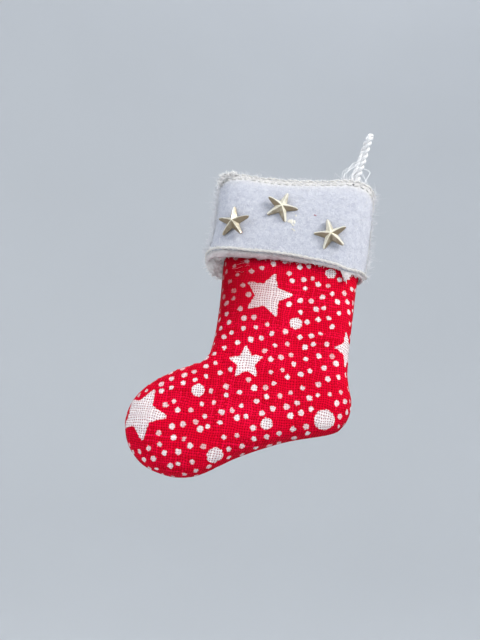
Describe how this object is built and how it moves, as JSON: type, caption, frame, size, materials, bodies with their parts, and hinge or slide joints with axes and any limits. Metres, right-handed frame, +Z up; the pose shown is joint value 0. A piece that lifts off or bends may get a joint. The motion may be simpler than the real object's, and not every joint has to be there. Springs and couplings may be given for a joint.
{
  "type": "hanging stocking",
  "caption": "Miniature padded stocking of printed red cotton with a white felt cuff, pressed metal stars and a twisted cord loop to hang it by.",
  "frame": {"origin": "inside top of the hanging loop's eye, in the plane of the side seams", "axes": "+Z up along the leg, -Y out of the decorated front, -X towards the toe"},
  "size_m": [0.0324, 0.0106, 0.064],
  "materials": {
    "printed_cotton": "plain-weave cotton printed with silvery white stars and dots",
    "sewing_thread": "fine cream thread",
    "fibre_wad": "loose white polyester fibre",
    "white_felt": "brushed felt, white with a faint cool tint",
    "fluffy_lining": "greyish fluffy pile",
    "cream_cord": "thin plied cream cord with a metallic thread",
    "star_metal": "pressed pale gold metal",
    "clear_glue": "clear glue, squeezed flat",
    "silver_cord": "twisted white cord with silver metallic strands"
  },
  "bodies": {
    "stocking": {"leg_front": "printed_cotton", "leg_back": "printed_cotton", "leg_seam_thread": "sewing_thread", "stuffing": "fibre_wad", "cuff_front": "white_felt", "cuff_back": "white_felt", "cuff_lining_front": "fluffy_lining", "cuff_lining_back": "fluffy_lining", "rim_cord": "cream_cord", "hem_cord": "cream_cord", "rim_stitches": "sewing_thread", "hem_stitches": "sewing_thread", "cuff_seam_left": "sewing_thread", "cuff_seam_right": "sewing_thread", "star_left": "star_metal", "star_middle": "star_metal", "star_right": "star_metal", "glue_left": "clear_glue", "glue_middle": "clear_glue", "glue_right": "clear_glue", "loop_root": "silver_cord", "loop_tack": "sewing_thread"},
    "loop": {"loop_cord": "silver_cord"}
  },
  "joints": [
    {"name": "loop_sway", "type": "hinge", "parent": "stocking", "child": "loop", "pos_m": [-0.00124, 0, -0.01009], "axis": [0, 1, 0], "range_deg": [-80, 65], "stiffness_Nm_per_rad": 0.000005}
  ]
}
